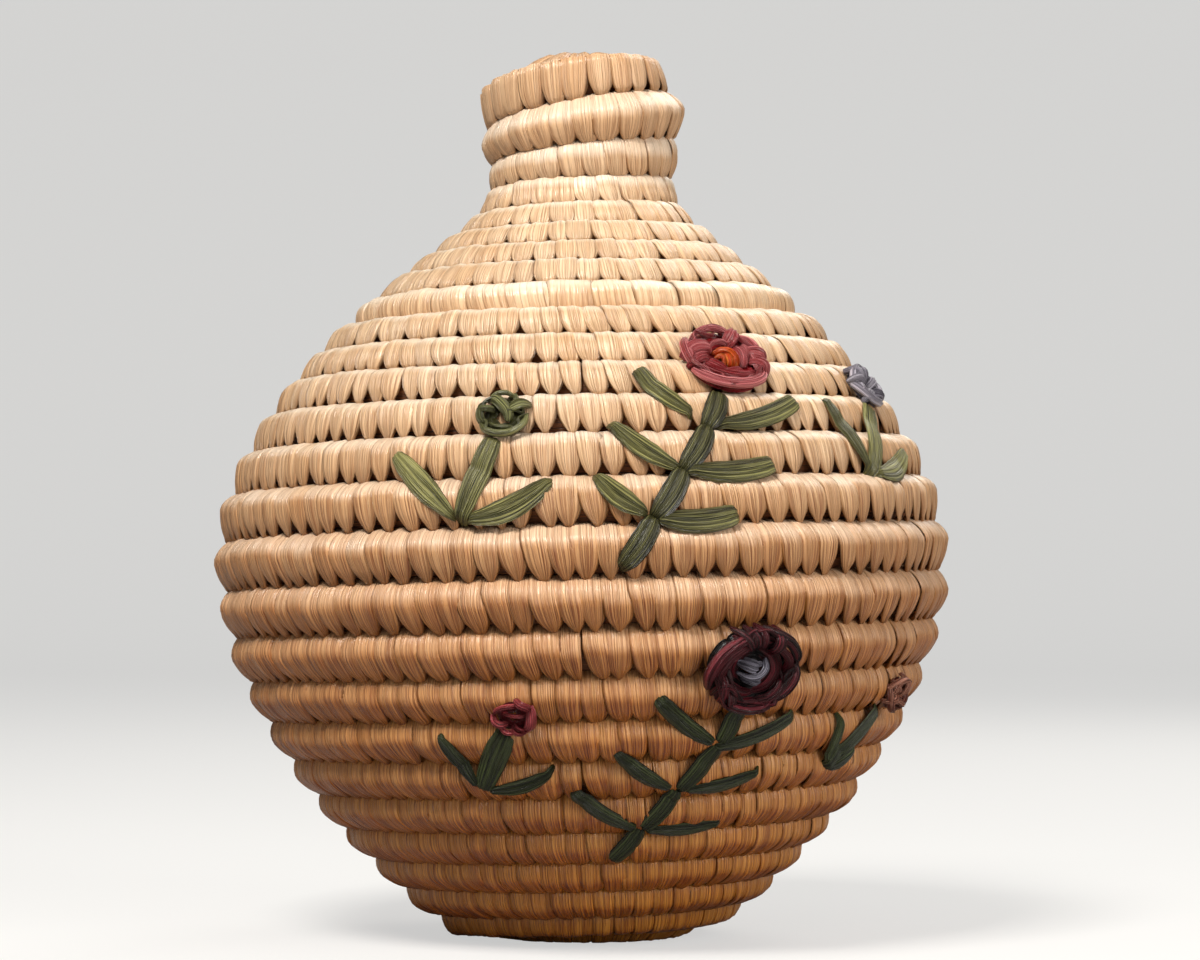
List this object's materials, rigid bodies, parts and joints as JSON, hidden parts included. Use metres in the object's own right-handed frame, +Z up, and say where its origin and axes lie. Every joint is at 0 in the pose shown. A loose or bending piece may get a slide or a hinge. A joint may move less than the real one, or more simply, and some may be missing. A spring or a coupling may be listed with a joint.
{
  "type": "lidded basket",
  "caption": "Round-bellied coiled grass basket with a lift-off lid, a hollow knob and raffia flower sprigs sewn on its front.",
  "frame": {"origin": "on the floor, under the middle of the base", "axes": "+Z up along the basket's axis, -Y towards the front with the flower sprigs, +X to the right as seen from the front"},
  "size_m": [0.1501, 0.1502, 0.1824],
  "materials": {
    "straw_coil": "satin dry grass",
    "rose_raffia": "satin dyed raffia",
    "orange_raffia": "satin dyed raffia",
    "maroon_raffia": "satin dyed raffia",
    "lavender_raffia": "satin dyed raffia",
    "moss_raffia": "satin dyed raffia",
    "crimson_raffia": "satin dyed raffia",
    "grey_raffia": "satin dyed raffia",
    "brown_raffia": "satin dyed raffia",
    "olive_leaf_raffia": "satin dyed raffia",
    "dark_leaf_raffia": "satin dyed raffia"
  },
  "bodies": {
    "basket": {"body_coil": "straw_coil", "rose_flower": "rose_raffia", "rose_flower_centre": "orange_raffia", "rose_flower_stem_1": "olive_leaf_raffia", "rose_flower_stem_2": "olive_leaf_raffia", "rose_flower_stem_3": "olive_leaf_raffia", "rose_flower_stem_4": "olive_leaf_raffia", "rose_flower_leaf_left_1": "olive_leaf_raffia", "rose_flower_leaf_left_2": "olive_leaf_raffia", "rose_flower_leaf_left_3": "olive_leaf_raffia", "rose_flower_leaf_right_1": "olive_leaf_raffia", "rose_flower_leaf_right_2": "olive_leaf_raffia", "rose_flower_leaf_right_3": "olive_leaf_raffia", "maroon_flower": "maroon_raffia", "maroon_flower_centre": "lavender_raffia", "maroon_flower_stem_1": "dark_leaf_raffia", "maroon_flower_stem_2": "dark_leaf_raffia", "maroon_flower_stem_3": "dark_leaf_raffia", "maroon_flower_stem_4": "dark_leaf_raffia", "maroon_flower_leaf_left_1": "dark_leaf_raffia", "maroon_flower_leaf_left_2": "dark_leaf_raffia", "maroon_flower_leaf_left_3": "dark_leaf_raffia", "maroon_flower_leaf_right_1": "dark_leaf_raffia", "maroon_flower_leaf_right_2": "dark_leaf_raffia", "maroon_flower_leaf_right_3": "dark_leaf_raffia", "green_flower": "moss_raffia", "green_flower_stem": "olive_leaf_raffia", "green_flower_leaf_left": "olive_leaf_raffia", "green_flower_leaf_right": "olive_leaf_raffia", "crimson_flower": "crimson_raffia", "crimson_flower_stem": "dark_leaf_raffia", "crimson_flower_leaf_left": "dark_leaf_raffia", "crimson_flower_leaf_right": "dark_leaf_raffia", "grey_flower": "grey_raffia", "grey_flower_stem": "olive_leaf_raffia", "grey_flower_leaf_left": "olive_leaf_raffia", "grey_flower_leaf_right": "olive_leaf_raffia", "brown_flower": "brown_raffia", "brown_flower_stem": "dark_leaf_raffia", "brown_flower_leaf_left": "dark_leaf_raffia", "brown_flower_leaf_right": "dark_leaf_raffia"},
    "lid": {"lid_coil": "straw_coil", "lid_flange_coil": "straw_coil", "knob_coil": "straw_coil"}
  },
  "joints": [
    {"name": "lid_lift", "type": "slide", "parent": "basket", "child": "lid", "axis": [0, 0, 1], "range_m": [0, 0.06]}
  ]
}
